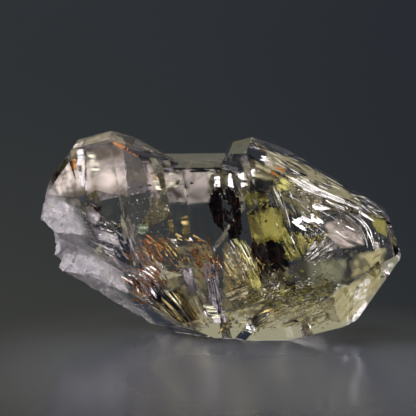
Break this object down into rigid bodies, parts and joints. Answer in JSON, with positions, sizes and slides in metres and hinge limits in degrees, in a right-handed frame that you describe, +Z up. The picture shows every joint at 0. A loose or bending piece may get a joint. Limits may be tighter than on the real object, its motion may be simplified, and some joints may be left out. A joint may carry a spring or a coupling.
{
  "type": "petroleum quartz crystal",
  "caption": "Clear double-ended quartz grown from several crystals on one axis, with a saddle on top, a broken left end and a small flat to rest on.",
  "frame": {"origin": "on the surface it rests on, under the middle of its box", "axes": "+X along its length towards the pointed right end, +Y towards its back, +Z up"},
  "size_m": [0.0284, 0.016, 0.0155],
  "materials": {
    "clear_quartz": "clear polished natural faces, frosted where the left end broke off",
    "bitumen": "black, slightly glossy, sealed inside the quartz",
    "yellow_oil": "clear yellow liquid, sealed inside the quartz",
    "inner_cracks": "silvery healed and open cracks, some with rust stains"
  },
  "bodies": {
    "root": {"quartz_crystal": "clear_quartz"}
  },
  "joints": []
}
